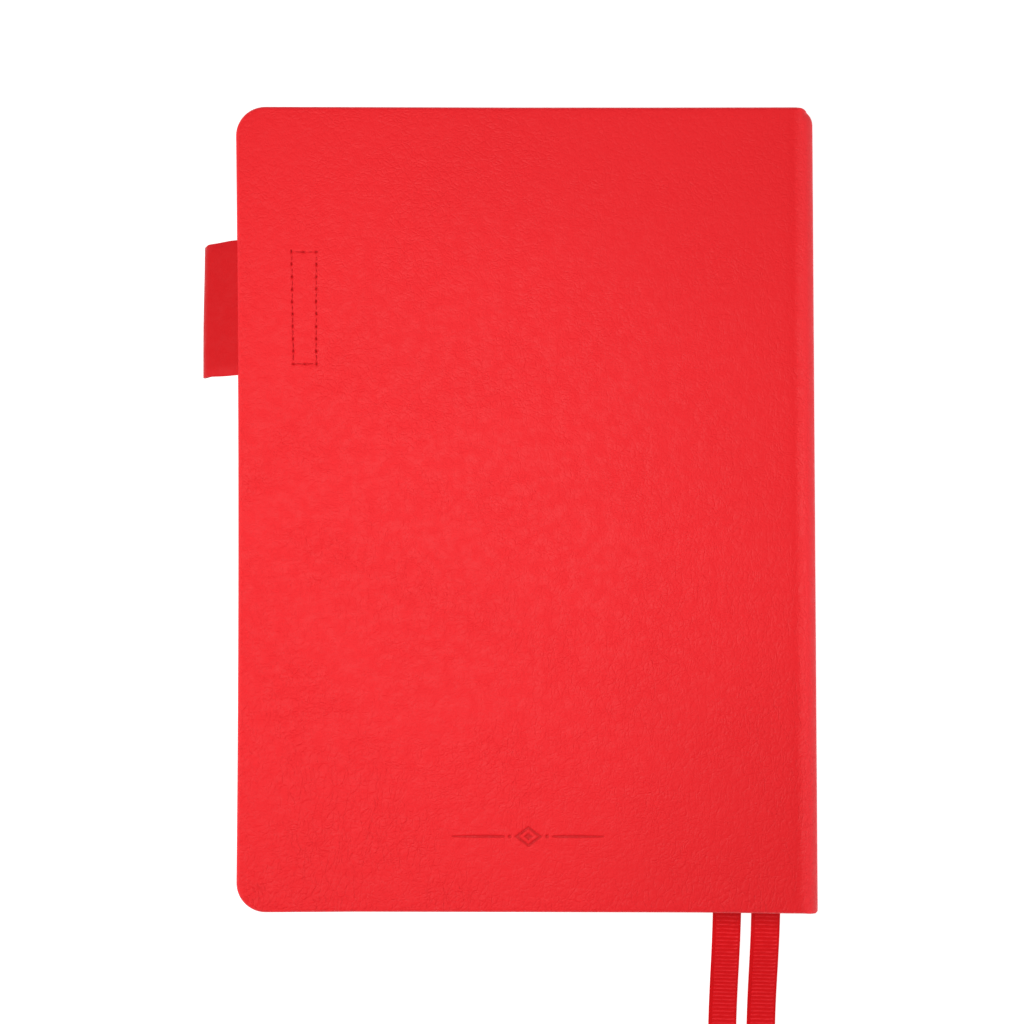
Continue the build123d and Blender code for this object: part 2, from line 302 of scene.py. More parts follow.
def leatherette(name, base, dark, grain=1.0, crease=1.0, roughness=0.55, specular=0.21, rim=0.1):
    """Embossed leatherette: pebbles and drawn creases, a pressed tone, painted shade in the creases,
    the needle holes and towards the lower right, and a painted highlight along the edges and over the
    spine.
    """
    look = Look(name, roughness, specular, Sheen_Weight=rim, Sheen_Roughness=0.3)
    place = look.sheet()
    drift = look.node("TexNoise", {"Vector": place, "Scale": 0.22, "Detail": 2.0},
                      noise_dimensions="2D").outputs["Color"]
    drift = look.node("VectorMath", {0: drift, 1: (0.5, 0.5, 0.5)}, operation="SUBTRACT").outputs[0]
    drift = look.node("VectorMath", {0: drift, "Scale": DRIFT}, operation="SCALE").outputs[0]

    def furrows(stretch, turn, scale, width):
        """1 along the borders of stretched cells, falling to 0 within width."""
        return look.ramp(look.cells(look.sheet(stretch, turn, drift), scale), 0.0, width, 1.0, 0.0)

    pebble = furrows((1.0, 1.3), -32, 0.62, 0.26)
    small = furrows((1.0, 1.3), 25, 1.2, 0.3)
    slant = furrows((0.6, 0.27), 52, 1.0, 0.16)
    upright = furrows((0.6, 0.2), 14, 1.0, 0.16)
    parts = look.node("SeparateXYZ", {0: place})
    across, along = parts.outputs["X"], parts.outputs["Y"]
    patches = look.ramp(look.noise(place, 0.05, 3.0), 0.35, 0.65, 0.45, 1.0)
    coarse = look.ramp(look.noise(place, 0.03, 2.0), 0.36, 0.6, 0.25, 1.0)
    low_half = look.ramp(along, -110.0, 110.0, 1.0, 0.2, smooth=False)
    near_spine = look.ramp(across, 75.0, 145.0)
    slant_share = look.times(look.times(slant, coarse), low_half)
    upright_share = look.times(look.times(upright, near_spine), low_half)
    fold = look.plus(look.times(slant_share, SLANT_FOLDS * crease),
                     look.times(upright_share, UPRIGHT_FOLDS * crease))
    fold = look.plus(fold, look.times(look.times(pebble, patches), PEBBLES * grain))
    fold = look.plus(fold, look.times(small, SMALL_PEBBLES * grain))
    fine = look.times(look.noise(place, 2.4, 1.0), FINE_GRAIN)
    swell = look.times(look.noise(place, 0.45, 2.0), SWELL_GRAIN)
    height = look.math("SUBTRACT", look.plus(fine, swell), fold)
    height = look.times(height, look.ramp(along, -60.0, 90.0, 1.15, 0.75))
    height = look.times(height, look.ramp(across, 10.0, 130.0, 1.6, 1.0))
    look.bump(height, GRAIN_DEPTH)
    tone = look.ramp(look.noise(place, 0.02, 3.0), 0.3, 0.7, 0.0, 0.12)
    # Painted shade: darker towards the lower right, beside the spine and the tail, where the light
    # falls off.
    painted_falloff_shade = look.times(look.ramp(across, 80.0, 145.0), look.ramp(along, -25.0, -95.0, 0.0, 0.36))
    colour = look.mix(look.plus(tone, painted_falloff_shade), base, dark)
    # Painted shade: a little darker in the creases of the grain.
    colour = look.mix(look.times(fold, 0.06, clamp=True), colour, dark)
    # Painted highlight: a paler, whiter red where the leather's highlight mark is set, along its edges
    # and over the spine.
    highlight_colour = rgb(min(1.0, base[0] * 1.22), base[1] * 4.4, base[2] * 3.6)
    colour = look.mix(look.mark("painted_highlight"), colour, highlight_colour)
    # The pressed mark gives the ornament its darker pressed tone, and paints shade into the needle
    # holes and along the stitches.
    pressed_tone_and_shade = rgb(dark[0] * 0.55, dark[1] * 0.35, dark[2] * 0.4)
    look.colour(look.mix(look.mark("pressed"), colour, pressed_tone_and_shade))
    uneven = look.ramp(look.noise(place, 0.3, 3.0), 0.3, 0.7, roughness - 0.05, roughness + 0.07)
    look.put(look.shader.inputs["Roughness"], uneven)
    return look.material


def thread_look(name, base):
    """Twisted thread: slanting strands, darker between them."""
    look = Look(name, 0.6, 0.15)
    place = look.sheet((1, 2.2), 35)
    strand = look.node("TexWave", {"Vector": place, "Scale": 0.9, "Distortion": 0.6},
                       wave_type="BANDS", bands_direction="Y").outputs["Fac"]
    look.bump(strand, 0.05, 0.8)
    shade = rgb(base[0] * 0.6, base[1] * 0.5, base[2] * 0.5)
    look.colour(look.mix(look.times(strand, 0.7), shade, base))
    return look.material


def ribbon_look():
    """Grosgrain: fine warp lines along the ribbon, and painted highlights on the crowns of its ribs."""
    look = Look("grosgrain", 0.55, 0.12)
    place = look.sheet()
    warp = look.node("TexWave", {"Vector": place, "Scale": 1.6, "Distortion": 0.25},
                     wave_type="BANDS", bands_direction="X").outputs["Fac"]
    fuzz = look.noise(place, 3.5, 3.0)
    look.bump(look.plus(look.times(warp, 0.5), look.times(fuzz, 0.6)), 0.03, 0.7)
    uneven = look.ramp(look.noise(look.sheet((0.6, 2.2)), 0.8, 2.0), 0.3, 0.7, 0.35, 1.0)
    # Painted highlight: a paler red on the rib crowns, uneven along the ribbon.
    rib_highlight = look.times(look.mark("rib_highlight"), uneven, clamp=True)
    side = look.node("SeparateXYZ", {0: place}).outputs["X"]
    border = look.ramp(look.math("ABSOLUTE", side), 2.7, 2.9, 0.0, 0.8)
    body = look.mix(look.ramp(fuzz, 0.3, 0.7, 0.0, 0.35), rgb(0.655, 0.003, 0.006),
                    rgb(0.55, 0.002, 0.005))
    body = look.mix(border, body, rgb(0.61, 0.0015, 0.004))
    look.colour(look.mix(rib_highlight, body, rgb(0.86, 0.027, 0.037)))
    return look.material


RULE_PITCH = 7.0
RULED = (-57.0, 69.0, -93.2, 80.8)     # left, right, foot and head of the ruled part of a page
HEAD_RULE_Y = 84.0


def paper_look(name, base, ruled=False):
    """Uncoated paper, clouded and fibrous, with plain grey rules where ruled is true."""
    look = Look(name, 0.75, 0.25)
    place = look.sheet()
    cloud = look.noise(place, 0.6, 4.0)
    colour = look.mix(look.ramp(cloud, 0.3, 0.7, 0.0, 1.0), base,
                      rgb(base[0] * 0.965, base[1] * 0.96, base[2] * 0.945))
    if ruled:
        parts = look.node("SeparateXYZ", {0: place})
        across, along = parts.outputs["X"], parts.outputs["Y"]

        def between(value, low, high):
            return look.times(look.ramp(value, low, low + 0.2),
                              look.ramp(value, high - 0.2, high, 1.0, 0.0))

        step = look.math("PINGPONG", look.plus(along, 200.0), RULE_PITCH / 2)
        line = look.ramp(step, 0.04, 0.16, 1.0, 0.0)
        wide = between(across, *RULED[:2])
        inside = look.times(wide, between(along, *RULED[2:]))
        off_head = look.math("ABSOLUTE", look.math("SUBTRACT", along, HEAD_RULE_Y))
        head = look.ramp(off_head, 0.12, 0.26, 1.0, 0.0)
        ink = look.plus(look.times(line, inside), look.times(head, wide))
        colour = look.mix(look.times(ink, 0.6, clamp=True), colour, rgb(0.36, 0.36, 0.38))
    look.colour(colour)
    look.bump(look.noise(place, 2.5, 4.0), 0.05, 0.25)
    return look.material


def edge_look():
    """Cut paper edges: fine lines of leaf on leaf."""
    look = Look("leaf_edges", 0.8, 0.2)
    place = look.sheet()
    tone = look.noise(place, 0.9, 3.0)
    look.colour(look.mix(look.ramp(tone, 0.3, 0.7), rgb(0.82, 0.79, 0.72), rgb(0.70, 0.665, 0.59)))
    look.bump(look.noise(place, 4.0, 3.0), 0.03, 0.5)
    return look.material


def board_look(name, base, fleck):
    """Board or card with small flecks."""
    look = Look(name, 0.85, 0.2)
    place = look.node("TexCoord").outputs["Object"]
    speck = look.node("TexNoise", {"Vector": place, "Scale": 900.0, "Detail": 4.0}).outputs["Fac"]
    look.colour(look.mix(look.ramp(speck, 0.42, 0.62), base, fleck))
    look.bump(speck, 0.05, 0.5)
    return look.material


def gauze_look():
    """Open gauze: two sets of threads."""
    look = Look("mull_gauze", 0.85, 0.2)
    place = look.node("TexCoord").outputs["Object"]
    weave = look.node("TexWave", {"Vector": place, "Scale": 300.0}, bands_direction="Y").outputs["Fac"]
    cross = look.node("TexWave", {"Vector": place, "Scale": 300.0}, bands_direction="Z").outputs["Fac"]
    both = look.math("MAXIMUM", weave, cross)
    look.colour(look.mix(both, rgb(0.55, 0.5, 0.4), rgb(0.86, 0.84, 0.78)))
    look.bump(both, 0.08, 0.6)
    return look.material


def band_look():
    """Woven band: red and white turns of thread."""
    look = Look("band_weave", 0.6, 0.3)
    place = look.sheet()
    turn = look.node("SeparateXYZ", {0: place}).outputs["Y"]
    stripe = look.ramp(look.math("PINGPONG", turn, 1.0), 0.45, 0.55)
    look.colour(look.mix(stripe, rgb(0.85, 0.83, 0.78), rgb(0.62, 0.02, 0.03)))
    look.bump(look.noise(place, 4.0, 2.0), 0.04, 0.6)
    return look.material


COVER_RED = rgb(0.745, 0.0096, 0.0147)
COVER_DARK = rgb(0.63, 0.005, 0.0085)
cover_leather = leatherette("cover_leatherette", COVER_RED, COVER_DARK)
# Painted shade: the loop's leather is a darker copy of the cover's, for the loop that lies beside and
# below the cover's edge.
loop_leather = leatherette("loop_leatherette", rgb(0.56, 0.005, 0.008), rgb(0.47, 0.003, 0.005),
                           grain=0.35, crease=0.15, roughness=0.6, specular=0.13, rim=0.3)
stitch_thread = thread_look("stitch_thread", rgb(0.66, 0.004, 0.010))
linen_thread = thread_look("linen_thread", rgb(0.85, 0.83, 0.76))
grosgrain = ribbon_look()
page_paper = paper_look("page_paper", rgb(0.79, 0.77, 0.71), ruled=True)
plain_paper = paper_look("endpaper", rgb(0.77, 0.75, 0.69))
leaf_edges = edge_look()
grey_board = board_look("grey_board", rgb(0.42, 0.40, 0.37), rgb(0.30, 0.28, 0.26))
lining_card = board_look("lining_card", rgb(0.80, 0.78, 0.72), rgb(0.70, 0.67, 0.60))
kraft_card = board_look("kraft_card", rgb(0.50, 0.38, 0.25), rgb(0.38, 0.28, 0.18))
gauze = gauze_look()
band_weave = band_look()

# ---- sewn rectangle and pressed ornament ----
STITCH_WIDTH = 0.55
THREAD_LOW, THREAD_HIGH = box_mm("pen_loop_thread")
STITCH_MIDDLE = ((THREAD_LOW[0] + THREAD_HIGH[0]) / 2, (THREAD_LOW[1] + THREAD_HIGH[1]) / 2)
STITCH_REACH = ((THREAD_HIGH[0] - THREAD_LOW[0] - STITCH_WIDTH) / 2,
                (THREAD_HIGH[1] - THREAD_LOW[1] - STITCH_WIDTH) / 2)
LONG_STITCHES = 9
SHORT_STITCHES = 2
HOLE_SHAKE = 0.09
LEFT_ROW_LEAN = 0.5                    # how far the left row leans from the head to the tail


def needle_holes():
    """The holes round the sewn rectangle, in order, each a little off its place."""
    chance = random.Random(7)
    reach_x, reach_y = STITCH_REACH
    corners = [(-reach_x, -reach_y), (reach_x, -reach_y), (reach_x, reach_y), (-reach_x, reach_y)]
    counts = [SHORT_STITCHES, LONG_STITCHES, SHORT_STITCHES, LONG_STITCHES]
    holes = []
    for corner, after, count in zip(corners, corners[1:] + corners[:1], counts):
        for number in range(count):
            share = number / count
            x = corner[0] + (after[0] - corner[0]) * share + chance.uniform(-HOLE_SHAKE, HOLE_SHAKE)
            y = corner[1] + (after[1] - corner[1]) * share + chance.uniform(-HOLE_SHAKE, HOLE_SHAKE)
            if x < 0:
                x += LEFT_ROW_LEAN * (0.35 - 0.65 * (y + reach_y) / (2 * reach_y))
            holes.append((STITCH_MIDDLE[0] + x, STITCH_MIDDLE[1] + y))
    return holes


HOLES = needle_holes()
ORNAMENT = (5.1, -86.15)
ORNAMENT_REACH = (20.5, 4.6)
PRESS_DEPTH = 0.22


def ornament_mask(x, y):
    """1 where the ornament is pressed in: two tapering rules and an open lozenge."""
    across = np.abs(x - ORNAMENT[0])
    up = np.abs(y - ORNAMENT[1])
    start, end = 6.2, ORNAMENT_REACH[0] - 0.6
    share = np.clip((across - start) / (end - start), 0, 1)
    half = 0.12 + 0.33 * np.sqrt(np.clip(share * (1 - share) * 4, 0, 1)) * (1 - 0.55 * share)
    rule = smooth_step(half - up, -0.12, 0.12) * (across > start) * (across < end)
    lozenge = across / 3.6 + up / 2.7
    ring = smooth_step(lozenge, 0.66, 0.74) * (1 - smooth_step(lozenge, 0.98, 1.06))
    heart = 1 - smooth_step(across / 1.25 + up / 0.95, 0.85, 1.1)
    bead = 1 - smooth_step(np.hypot(across - 4.9, up), 0.36, 0.54)
    return np.clip(rule + ring + heart + bead, 0, 1)


def stitch_marks(x, y):
    """(depth, painted shade) of the needle holes and of the leather that the thread draws in."""
    depth = np.zeros_like(x)
    dark = np.zeros_like(x)
    near = (np.abs(x - STITCH_MIDDLE[0]) < STITCH_REACH[0] + 3) & \
           (np.abs(y - STITCH_MIDDLE[1]) < STITCH_REACH[1] + 3)
    px, py = x[near], y[near]
    deep = np.zeros_like(px)
    line = np.zeros_like(px)
    for hole, after in zip(HOLES, HOLES[1:] + HOLES[:1]):
        step = np.array(after) - np.array(hole)
        share = np.clip(((px - hole[0]) * step[0] + (py - hole[1]) * step[1]) / (step @ step), 0, 1)
        away = np.hypot(px - hole[0] - share * step[0], py - hole[1] - share * step[1])
        line = np.maximum(line, np.exp(-(away / 0.27) ** 2))
        length = math.hypot(*step)
        long = (px - hole[0]) * step[0] / length + (py - hole[1]) * step[1] / length
        wide = np.hypot(px - hole[0], py - hole[1]) ** 2 - long ** 2
        deep = np.maximum(deep, np.exp(-(long / 0.46) ** 2 - wide / 0.24 ** 2))
    depth[near] = 0.10 * line + 0.40 * deep
    dark[near] = np.clip(1.1 * deep ** 1.3 + 0.15 * line ** 2, 0, 1)
    return depth, dark


# ---- cover and spine leather ----
FLAT = HINGE_X - FORE_X
QUARTER = CORNER * math.pi / 2
SEAM_DROP = 0.6                        # how far down the spine a cover's leather reaches
SHEET_END = FLAT + QUARTER + SEAM_DROP
TURNED_IN = 3.6                        # how far the turn-in shows beyond the endpaper's edge
TURN_ROUND = 0.4                       # rounding of the turned-in fold
SPINE_ROUND = 0.3                      # rounding of the leather's edge at the spine
RIM_DIP, RIM_REACH = 0.10, 3.0         # the leather dips a little towards its edge
SLACK, WAVES = 0.11, 0.10              # its unevenness on the board
GROOVE, GROOVE_INSET, GROOVE_WIDTH = 0.20, 2.0, 1.3
# Painted highlight: its strength and width along the leather's edges, and its strength over the spine's
# rounded edge.
EDGE_HIGHLIGHT, HIGHLIGHT_WIDTH = 0.45, 0.55
SPINE_HIGHLIGHT = 0.6


def wrap(run, depth):
    """x and height of a point of the back leather: run from the fore-edge, depth below its face."""
    angle = np.clip((run - FLAT) / CORNER, 0, math.pi / 2)
    down = np.maximum(run - FLAT - QUARTER, 0)
    x = np.where(run <= FLAT, FORE_X + run, HINGE_X + (CORNER - depth) * np.sin(angle))
    z = np.where(run <= FLAT, TOP - depth, HINGE_Z + (CORNER - depth) * np.cos(angle) - down)
    return x, z


def sway(x, y):
    """Moves points by the slight unevenness of the soft cover's outline."""
    side = np.clip((x - FORE_X) / (SPINE_X - FORE_X), 0, 1)
    rise = y / HALF_HEIGHT
    fore = 0.2 - 0.65 * (rise + 0.14) ** 2
    spine = 0.32 - 0.18 * rise
    head = np.interp(x, (-62, 0, 40, 80), (0.30, 0.0, -0.08, -0.08))
    tail = np.interp(x, (-60, -40, 0, 50, 75), (0.05, 0.14, -0.02, -0.24, -0.55))
    new_x = x + fore * (1 - side) ** 2 + spine * side ** 2
    new_y = y + head * smooth_step(rise, 0.2, 1) + tail * smooth_step(-rise, 0.2, 1)
    return new_x, new_y


def outline(x, y):
    """Rounds the four corners of the cover's outline."""
    x, y = round_corner(x, y, FORE_X, HALF_HEIGHT, FORE_CORNER, FORE_CORNER)
    x, y = round_corner(x, y, FORE_X, -HALF_HEIGHT, FORE_CORNER, FORE_CORNER)
    x, y = round_corner(x, y, SPINE_X, HALF_HEIGHT, *HEAD_CORNER)
    return sway(*round_corner(x, y, SPINE_X, -HALF_HEIGHT, *TAIL_CORNER))


def soft_waves(x, y, seed):
    """A slow unevenness of the soft cover, about a tenth of a millimetre."""
    chance = random.Random(seed)
    total = np.zeros_like(x)
    for _ in range(7):
        length = chance.uniform(45, 130)
        way = chance.uniform(0, TAU)
        phase = chance.uniform(0, TAU)
        total += np.sin((x * math.cos(way) + y * math.sin(way)) * TAU / length + phase)
    return total / 7


def cover_leather_sheet(name, back):
    """The leather of one cover with its turned-in edges, carried over the spine's rounded edge."""
    fine_run = [(0, 1.4, 0.2), (1.4, 8.0, 0.7), (FLAT - 4.5, FLAT, 0.5), (FLAT, SHEET_END, 0.33)]
    fine_rise = [(-HALF_HEIGHT, -HALF_HEIGHT + 1.4, 0.2), (HALF_HEIGHT - 1.4, HALF_HEIGHT, 0.2),
                 (-HALF_HEIGHT + 1.4, -HALF_HEIGHT + 8, 0.7), (HALF_HEIGHT - 8, HALF_HEIGHT, 0.7)]
    if back:
        middle = STITCH_MIDDLE[0] - FORE_X
        for side in (-STITCH_REACH[0], STITCH_REACH[0]):
            fine_run.append((middle + side - 1.2, middle + side + 1.2, 0.16))
        fine_run.append((middle - 4, middle + 4, 0.4))
        fine_run.append((ORNAMENT[0] - ORNAMENT_REACH[0] - FORE_X,
                         ORNAMENT[0] + ORNAMENT_REACH[0] - FORE_X, 0.2))
        fine_rise.append((STITCH_MIDDLE[1] - STITCH_REACH[1] - 1.2,
                          STITCH_MIDDLE[1] + STITCH_REACH[1] + 1.2, 0.22))
        fine_rise.append((ORNAMENT[1] - ORNAMENT_REACH[1], ORNAMENT[1] + ORNAMENT_REACH[1], 0.16))
    runs = grid_lines(0, SHEET_END, 1.6, fine_run)
    rises = grid_lines(-HALF_HEIGHT, HALF_HEIGHT, 1.6, fine_rise)
    run, rise = np.meshgrid(runs, rises)
    flat_x = FORE_X + run
    edge = np.minimum(run, HALF_HEIGHT - np.abs(rise))
    by_spine = smooth_step(flat_x, HINGE_X - 1.5, HINGE_X + 1)
    rounding = EDGE_ROUND + (SPINE_ROUND - EDGE_ROUND) * by_spine
    near = np.minimum(edge, rounding)
    depth = rounding - np.sqrt(rounding ** 2 - (rounding - near) ** 2)
    depth += RIM_DIP * np.exp(-edge / RIM_REACH) * (edge > 0) * (rounding > 0.6)
    away_from_edge = smooth_step(edge, 0.5, 10.0)
    on_cover = 1 - smooth_step(flat_x, HINGE_X - 4, HINGE_X)
    waves = soft_waves(flat_x, rise, 3 if back else 5)
    depth += (SLACK + WAVES * waves) * away_from_edge * on_cover
    groove = np.exp(-((flat_x - (HINGE_X - GROOVE_INSET)) / GROOVE_WIDTH) ** 2)
    depth += GROOVE * groove * smooth_step(edge, 0.0, 6.0)
    pressed = np.zeros_like(run)
    if back:
        mask = ornament_mask(flat_x, rise)
        drawn, hole_shade = stitch_marks(flat_x, rise)
        depth += PRESS_DEPTH * mask + drawn
        # Painted shade in the needle holes and along the stitches, with the ornament's pressed tone.
        pressed = np.clip(0.55 * mask + hole_shade, 0, 1)
    # Painted highlight along the edges and over the spine's rounded edge.
    painted_highlight = EDGE_HIGHLIGHT * np.exp(-(edge / HIGHLIGHT_WIDTH) ** 2)
    painted_highlight = painted_highlight + SPINE_HIGHLIGHT * smooth_step(run, FLAT - 2.5, FLAT + 2.5)
    rows, columns = run.shape
    points = [(run.ravel(), rise.ravel(), depth.ravel())]
    marks = [(pressed.ravel(), painted_highlight.ravel())]
    faces = grid_faces(rows, columns)
    border = [(0, column) for column in range(columns - 1, -1, -1)]
    border += [(row, 0) for row in range(1, rows)]
    border += [(rows - 1, column) for column in range(1, columns)]
    index = np.array([row * columns + column for row, column in border])
    ring_run = np.array([run[at] for at in border])
    ring_rise = np.array([rise[at] for at in border])
    full = SPINE_DEPTH + (COVER_DEPTH - SPINE_DEPTH) * (1 - smooth_step(ring_run, FLAT - 5, FLAT))
    lip = TURN_ROUND
    rings = [(0.0, full - lip), (0.3 * lip, full - 0.3 * lip), (lip, full), (TURNED_IN, full)]
    before = index
    total = rows * columns
    for inset, ring_depth in rings:
        share_run = np.clip((FORE_CORNER - ring_run) / FORE_CORNER, 0, 1)
        share_rise = np.clip((np.abs(ring_rise) - HALF_HEIGHT + FORE_CORNER) / FORE_CORNER, 0, 1)
        new_run = ring_run + inset * share_run
        new_rise = ring_rise - np.sign(ring_rise) * inset * share_rise
        points.append((new_run, new_rise, ring_depth))
        # A faint painted highlight on the turned-in rings.
        marks.append((np.zeros(len(border)), np.full(len(border), 0.12)))
        here = total + np.arange(len(border))
        for step in range(len(border) - 1):
            quad = (before[step], before[step + 1], here[step + 1], here[step])
            faces.append(tuple(int(corner) for corner in quad))
        before = here
        total += len(border)
    run, rise, depth = (np.concatenate([part[k] for part in points]) for k in range(3))
    x, z = wrap(run, depth)
    x, y = outline(x, rise)
    if not back:
        z = 2 * MIDDLE - z
        faces = [face[::-1] for face in faces]
    labels = {"pressed": np.concatenate([part[0] for part in marks]),
              "painted_highlight": np.concatenate([part[1] for part in marks])}
    uvs = np.column_stack([run, rise + (0 if back else 400)])
    return add_mesh(name, np.column_stack([x, y, z]), faces, uvs, [cover_leather], sharp=60,
                    marks=labels)


def spine_leather_strip():
    """The leather on the face of the spine, between the leathers of the two covers."""
    high = HINGE_Z - SEAM_DROP
    low = 2 * MIDDLE - high
    heights = grid_lines(low, high, 0.6, [(MIDDLE - 1.6, MIDDLE + 1.6, 0.2)])
    rises = grid_lines(-HALF_HEIGHT, HALF_HEIGHT, 1.2,
                       [(-HALF_HEIGHT, -HALF_HEIGHT + 2, 0.2), (HALF_HEIGHT - 6, HALF_HEIGHT, 0.3)])
    height, rise = np.meshgrid(heights, rises)
    edge = HALF_HEIGHT - np.abs(rise)
    near = np.clip(edge, 0, SPINE_ROUND)
    depth = SPINE_ROUND - np.sqrt(SPINE_ROUND ** 2 - (SPINE_ROUND - near) ** 2)
    depth += 0.06 * np.exp(-((height - MIDDLE) / 0.5) ** 2) * smooth_step(edge, 0, 4)
    rows, columns = height.shape
    heights_all, rises_all, depths = [height.ravel()], [rise.ravel()], [depth.ravel()]
    faces = grid_faces(rows, columns, flip=True)
    total = rows * columns
    lip = TURN_ROUND
    for end in (0, rows - 1):
        before = end * columns + np.arange(columns)
        for inset, ring_depth in ((0.0, SPINE_DEPTH - lip), (0.12, SPINE_DEPTH - 0.12),
                                  (lip, SPINE_DEPTH), (TURNED_IN, SPINE_DEPTH)):
            heights_all.append(heights)
            rises_all.append(np.full(columns, rises[end] - np.sign(rises[end]) * inset))
            depths.append(np.full(columns, ring_depth))
            here = total + np.arange(columns)
            for step in range(columns - 1):
                quad = (before[step], here[step], here[step + 1], before[step + 1])
                quad = tuple(int(corner) for corner in quad)
                faces.append(quad[::-1] if end == 0 else quad)
            before = here
            total += columns
    height, rise, depth = map(np.concatenate, (heights_all, rises_all, depths))
    x, y = outline(SPINE_X - depth, rise)
    # Painted highlight on the spine: along its head and tail, all over its face, and most beside the
    # seams with the covers' leather.
    painted_highlight = np.exp(-((HALF_HEIGHT - np.abs(rise)) / HIGHLIGHT_WIDTH) ** 2)
    uvs = np.column_stack([SHEET_END + high - height, rise])
    seam = np.minimum(high - height, height - low)
    painted_highlight = 0.4 * painted_highlight + 0.25 + 0.35 * np.exp(-seam / 3.0)
    marks = {"pressed": np.zeros(total), "painted_highlight": painted_highlight}
    return add_mesh("spine_leather", np.column_stack([x, y, height]), faces, uvs, [cover_leather],
                    sharp=60, marks=marks)


def place_leathers():
    back = cover_leather_sheet("back_cover_leather", True)
    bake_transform(back)
    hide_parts("back_cover_skin", "spine_skin_back")
    front = cover_leather_sheet("front_cover_leather", False)
    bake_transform(front)
    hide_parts("front_cover_skin")
    spine = spine_leather_strip()
    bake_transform(spine)
    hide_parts("spine_skin_front")


place_leathers()

# ---- stitches ----


def tube(path, radius, sides, flat):
    """Points and faces of a closed tube along path, an array of points, in millimetres."""
    path = np.asarray(path, float)
    ways = np.gradient(path, axis=0)
    ways /= np.linalg.norm(ways, axis=1)[:, None]
    up = np.array([0, 0, 1.0])
    side = np.cross(ways, up)
    side /= np.maximum(np.linalg.norm(side, axis=1), 1e-9)[:, None]
    other = np.cross(side, ways)
    radii = np.broadcast_to(radius, len(path))
    angles = np.arange(sides) * TAU / sides
    ring = (np.cos(angles)[None, :, None] * side[:, None, :]
            + np.sin(angles)[None, :, None] * other[:, None, :] * flat)
    points = (path[:, None, :] + ring * radii[:, None, None]).reshape(-1, 3)
    faces = []
    for step in range(len(path) - 1):
        for corner in range(sides):
            after = (corner + 1) % sides
            faces.append((step * sides + corner, (step + 1) * sides + corner,
                          (step + 1) * sides + after, step * sides + after))
    faces.append(tuple(range(sides)))
    last = (len(path) - 1) * sides
    faces.append(tuple(last + corner for corner in range(sides))[::-1])
    return points, faces


THREAD_RADIUS = 0.17
THREAD_DIP, THREAD_RISE = 0.82, 0.68   # down in the holes, and up again between them
TUBE_SIDES = 8
STITCH_STEPS = 11


def stitch_row():
    """The stitches: each dips into its two holes and stands up between them."""
    points, faces, uvs = [], [], []
    count = 0
    for hole, after in zip(HOLES, HOLES[1:] + HOLES[:1]):
        steps = np.linspace(0.04, 0.96, STITCH_STEPS)
        x = hole[0] + (after[0] - hole[0]) * steps
        y = hole[1] + (after[1] - hole[1]) * steps
        rise = np.sin(steps * math.pi) ** 0.5
        z = TOP - SLACK - THREAD_DIP + THREAD_RISE * rise
        made, quads = tube(np.column_stack([x, y, z]), THREAD_RADIUS, TUBE_SIDES, flat=0.8)
        points.append(made)
        faces += [tuple(corner + count for corner in face) for face in quads]
        length = math.hypot(after[0] - hole[0], after[1] - hole[1])
        uvs.append(np.column_stack([np.tile(np.arange(TUBE_SIDES) * 0.16, STITCH_STEPS),
                                    np.repeat(steps * length, TUBE_SIDES)]))
        count += len(made)
    row = add_mesh("pen_loop_stitches", np.vstack(points), faces, np.vstack(uvs), [stitch_thread])
    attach(row, "back_cover")
    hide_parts("pen_loop_thread")


stitch_row()

# ---- pen loop ----
LOOP_LOW, LOOP_HIGH = box_mm("pen_loop")
NECK_X, LOOP_Y, NECK_Z = joint_mm("pen_loop_flex")
LOOP_WALL = 0.5
LOOP_RADIUS = 3.6
LOOP_SKEW = 0.9                        # how far the fold lies nearer the tail than the neck
LOOP_TUCK = 0.95                       # how far the under layer lies nearer the head
LOOP_RISE = 0.3
LOOP_PUSH = 0.28                       # how far the fold stands out past its plain round
LOOP_EASE = 0.5                        # how much the fold's corner at the head is rounded off
LOOP_FLARE = 0.28                      # how much wider each side of the band is beside the cover
LOOP_LEAN = 0.37                       # how far the fold leans out from the head to the tail


def loop_line():
    """The middle of the loop's wall seen along Y, from the tab round and back to the tab."""
    centre_x = LOOP_LOW[0] + LOOP_RADIUS - 0.15
    centre_z = LOOP_LOW[2] + LOOP_RADIUS
    mid = LOOP_RADIUS - LOOP_WALL / 2
    layer = LOOP_WALL / 2
    tab_x = FORE_X + 3.0
    start = [(tab_x, NECK_Z + layer), (FORE_X + 0.5, NECK_Z + layer), (NECK_X, NECK_Z + layer - 0.05)]
    turn = [(centre_x + mid * math.cos(a), centre_z + mid * math.sin(a))
            for a in np.linspace(math.radians(78), math.radians(318), 30)]
    end = [(NECK_X + 0.05, NECK_Z - layer - 0.3), (FORE_X + 0.5, NECK_Z - layer),
           (tab_x, NECK_Z - layer)]
    return np.array(start + turn + end)


def resample(path, step):
    """Points a step apart along path, with their distances along it."""
    path = np.asarray(path, float)
    reach = np.concatenate([[0], np.cumsum(np.linalg.norm(np.diff(path, axis=0), axis=1))])
    places = np.linspace(0, reach[-1], max(2, round(reach[-1] / step) + 1))
    return np.column_stack([np.interp(places, reach, path[:, k]) for k in range(path.shape[1])]), places


def smooth_line(path, step, rounds=6):
    """A finer path with its corners eased."""
    points, _ = resample(path, step)
    for _ in range(rounds):
        points[1:-1] = (points[:-2] + 2 * points[1:-1] + points[2:]) / 4
    return resample(points, step)


